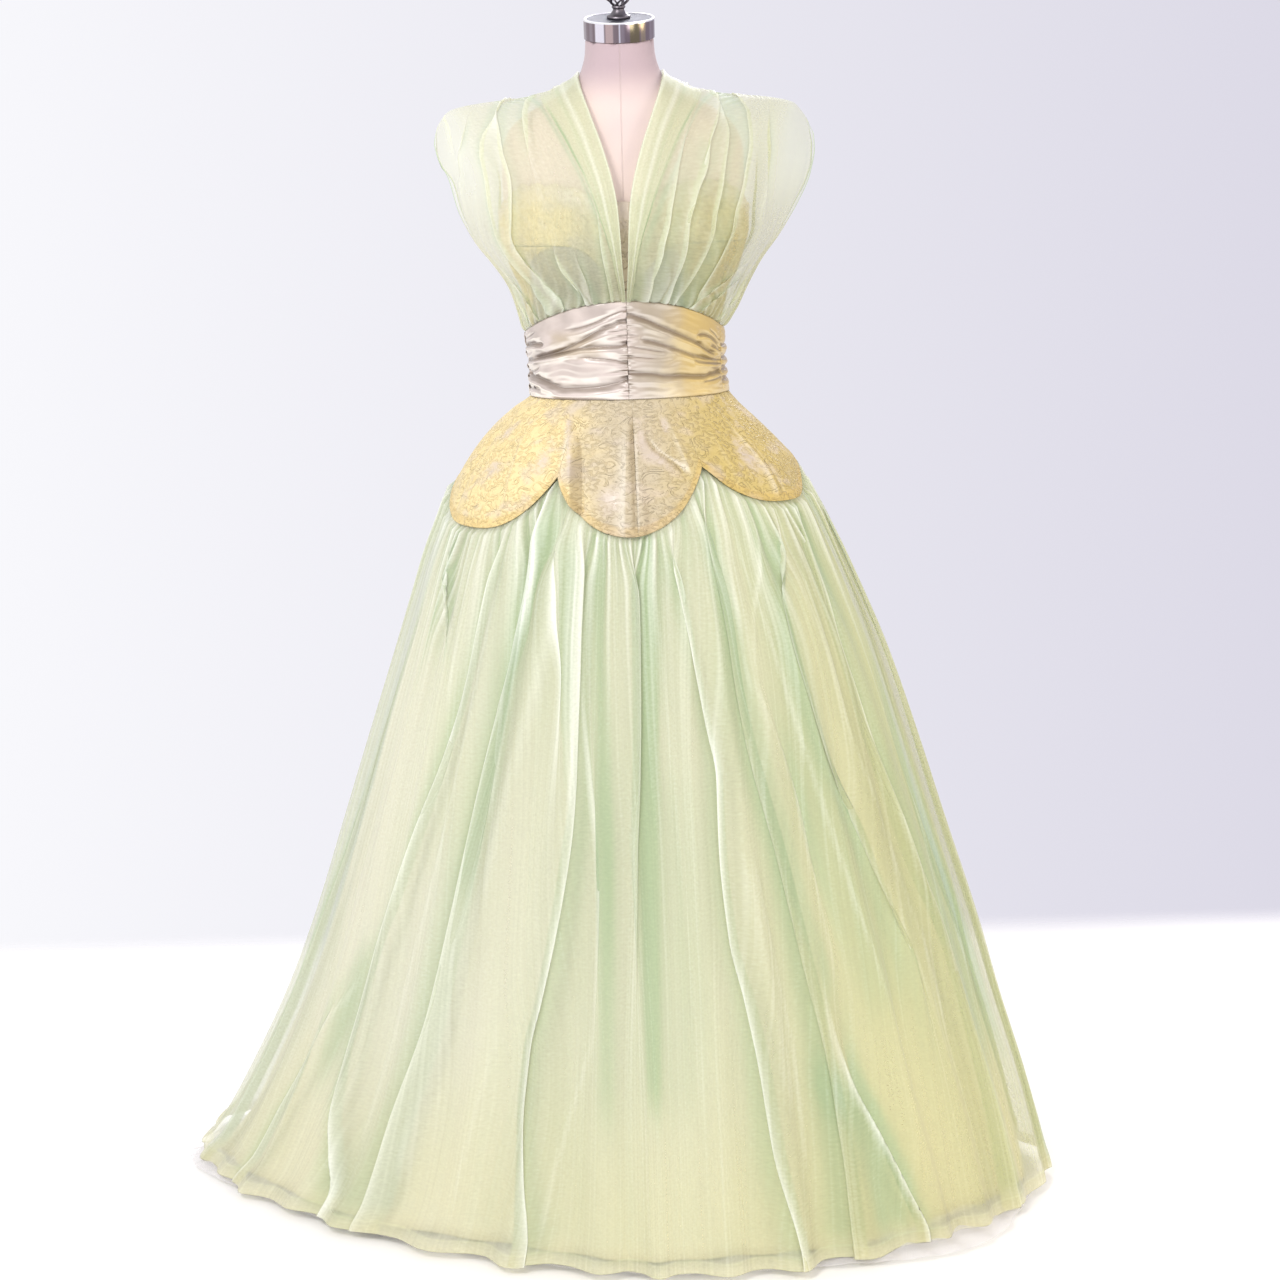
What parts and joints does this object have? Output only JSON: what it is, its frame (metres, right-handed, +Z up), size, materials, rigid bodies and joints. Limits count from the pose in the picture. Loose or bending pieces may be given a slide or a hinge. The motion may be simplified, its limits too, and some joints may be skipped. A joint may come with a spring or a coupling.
{
  "type": "party dress on a dress form",
  "caption": "Floor-length sheer gathered gown with cap sleeves, deep V neck, ruched satin waist and scalloped lace hip yoke, worn on a padded dress form with a pole stand.",
  "frame": {"origin": "centre of the stand base's underside, on the floor", "axes": "+Z up along the stand's pole, -Y the front of the dress, +X the viewer's right when the front is seen"},
  "size_m": [1.1562, 0.7808, 1.5409],
  "materials": {
    "stand_enamel": "semi-gloss dark enamel",
    "pole_steel": "smooth bright steel",
    "form_linen": "matte cream-pink jersey over padding",
    "cap_steel": "polished steel with a bright rim",
    "finial_iron": "dark semi-gloss iron",
    "midriff_satin": "grey-taupe satin",
    "gold_lace": "golden lace lying on champagne satin",
    "sheer_green": "sheer crisp mint-green silk organza",
    "champagne_satin": "lustrous champagne satin",
    "cream_taffeta": "pale yellow-cream taffeta with a soft sheen",
    "white_net": "stiff off-white net"
  },
  "bodies": {
    "root": {"stand_base": "stand_enamel", "stand_pole": "pole_steel", "form_torso": "form_linen", "neck_cap": "cap_steel", "finial": "finial_iron", "underbodice_midriff": "midriff_satin", "underbodice_lace": "gold_lace", "bodice_front_left": "sheer_green", "bodice_front_right": "sheer_green", "bodice_back": "sheer_green", "neckline_band_left": "sheer_green", "neckline_band_right": "sheer_green", "cummerbund_front_left": "champagne_satin", "cummerbund_front_right": "champagne_satin", "cummerbund_back": "champagne_satin", "yoke_side_left": "gold_lace", "yoke_front_left": "gold_lace", "yoke_front_right": "gold_lace", "yoke_side_right": "gold_lace", "yoke_back": "gold_lace", "skirt_front": "sheer_green", "skirt_back": "sheer_green", "underskirt_front": "cream_taffeta", "underskirt_back": "cream_taffeta", "net_flounce": "white_net"}
  },
  "joints": []
}
